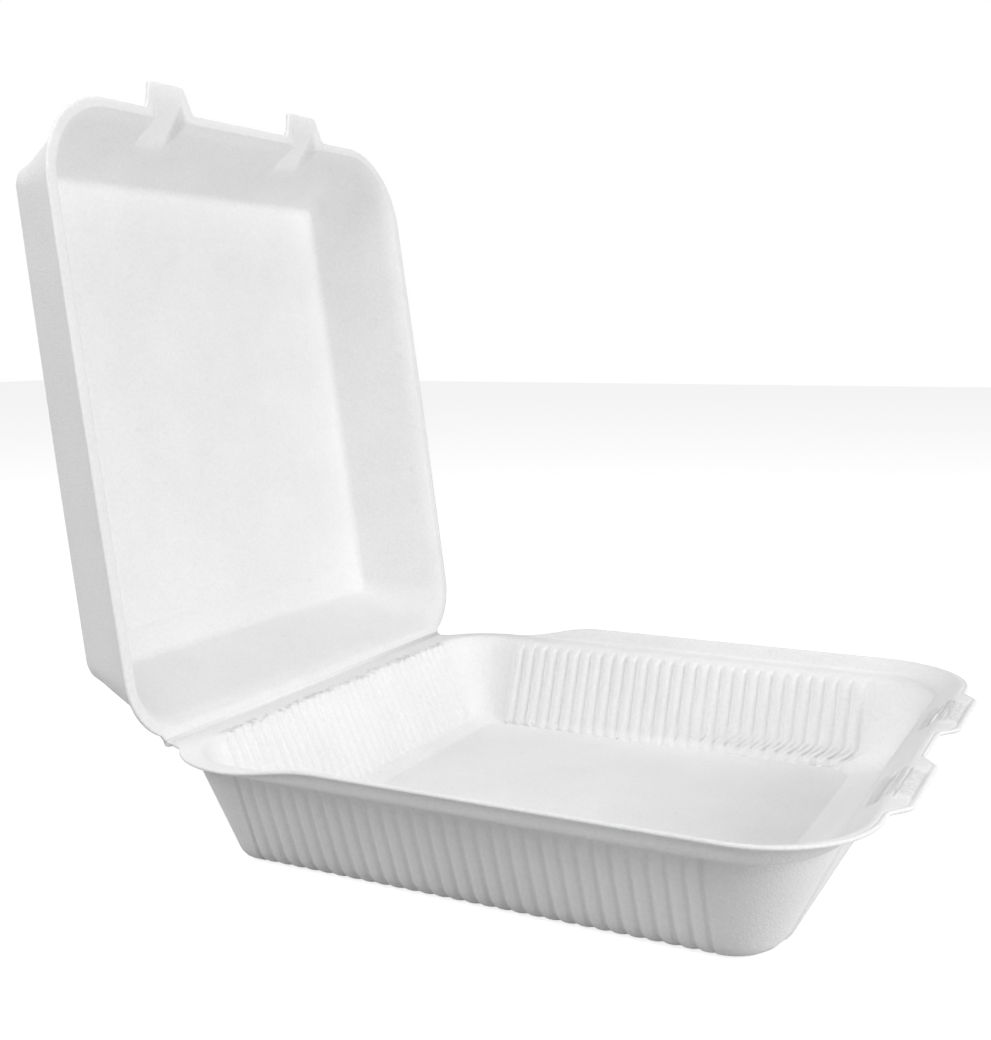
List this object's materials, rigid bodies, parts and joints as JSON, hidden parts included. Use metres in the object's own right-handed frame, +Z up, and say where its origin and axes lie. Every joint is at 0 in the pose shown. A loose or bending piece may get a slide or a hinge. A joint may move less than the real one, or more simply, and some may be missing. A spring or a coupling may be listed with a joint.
{
  "type": "foam clamshell food container",
  "caption": "Square one-piece foam clamshell tray with a hinged lid, fluted tray walls, a raised lip, and tongues that latch into slots below the front ears.",
  "frame": {"origin": "middle of the flat underside of the tray, on the table", "axes": "+Z up, the crease of the lid at +Y and the latching ears at -Y, +X along the crease"},
  "size_m": [0.23, 0.3145, 0.2739],
  "materials": {
    "foam": "white expanded foam sheet with a fine cellular grain and a faint sheen"
  },
  "bodies": {
    "base": {"base_tray": "foam"},
    "cover": {"lid": "foam"}
  },
  "joints": [
    {"name": "lid_hinge", "type": "hinge", "parent": "base", "child": "cover", "pos_m": [0, 0.12195, 0.0394], "axis": [-1, 0, 0], "range_deg": [-96.4, 81.9]}
  ]
}
